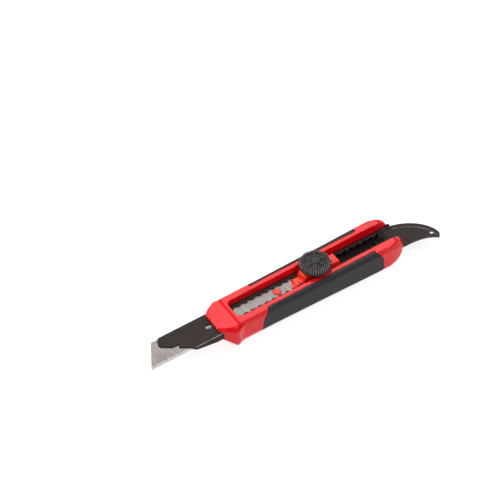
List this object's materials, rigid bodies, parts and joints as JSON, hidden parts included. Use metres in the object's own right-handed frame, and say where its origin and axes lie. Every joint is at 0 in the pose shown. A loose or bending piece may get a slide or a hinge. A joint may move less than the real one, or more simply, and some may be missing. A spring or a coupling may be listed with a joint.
{
  "type": "snap-off utility knife",
  "caption": "Snap-off utility knife with a sliding blade, screw-lock wheel, soft grips, steel front sleeve and a curved creasing tail.",
  "frame": {"origin": "centre line of the knife on its flat back, about halfway between blade tip and tail", "axes": "+X from the blade tip to the tail, +Z out of the front face with the lock wheel, cutting edge on the -Y side"},
  "size_m": [0.2089, 0.0298, 0.0254],
  "materials": {
    "red_plastic": "glossy moulded",
    "grip_rubber": "matt moulded soft grip",
    "coated_steel": "satin black coating",
    "slider_plastic": "satin moulded",
    "blade_steel": "ground carbon steel",
    "wheel_plastic": "matt moulded",
    "plain_steel": "zinc plated",
    "brass_insert": "turned"
  },
  "bodies": {
    "housing": {"housing_shell": "red_plastic", "back_cover": "red_plastic", "grip_near": "grip_rubber", "grip_far": "grip_rubber", "blade_channel": "coated_steel", "crease_tail": "coated_steel", "tail_rivets": "plain_steel", "channel_screws": "plain_steel", "cover_screws": "plain_steel"},
    "slider": {"slider_carriage": "slider_plastic", "blade": "blade_steel", "detent_spring": "plain_steel", "wheel_washer": "plain_steel"},
    "wheel": {"lock_wheel": "wheel_plastic", "wheel_nut": "brass_insert", "wheel_cap": "wheel_plastic"},
    "clamp": {"clamp_bolt": "plain_steel", "clamp_plate": "plain_steel", "bolt_clip": "plain_steel"}
  },
  "joints": [
    {"name": "blade_slide", "type": "slide", "parent": "housing", "child": "slider", "axis": [-1, 0, 0], "range_m": [-0.03, 0.04], "deforming": ["detent_spring"]},
    {"name": "wheel_turn", "type": "hinge", "parent": "slider", "child": "wheel", "pos_m": [0.0178, 0, 0.021], "axis": [0, 0, 1], "range_deg": [0, 360]},
    {"name": "clamp_drop", "type": "slide", "parent": "slider", "child": "clamp", "axis": [0, 0, -1], "range_m": [0, 0.0007]}
  ],
  "couplings": [
    {"joint": "wheel_turn", "follows": "clamp_drop", "rad_per_m": 8975}
  ]
}
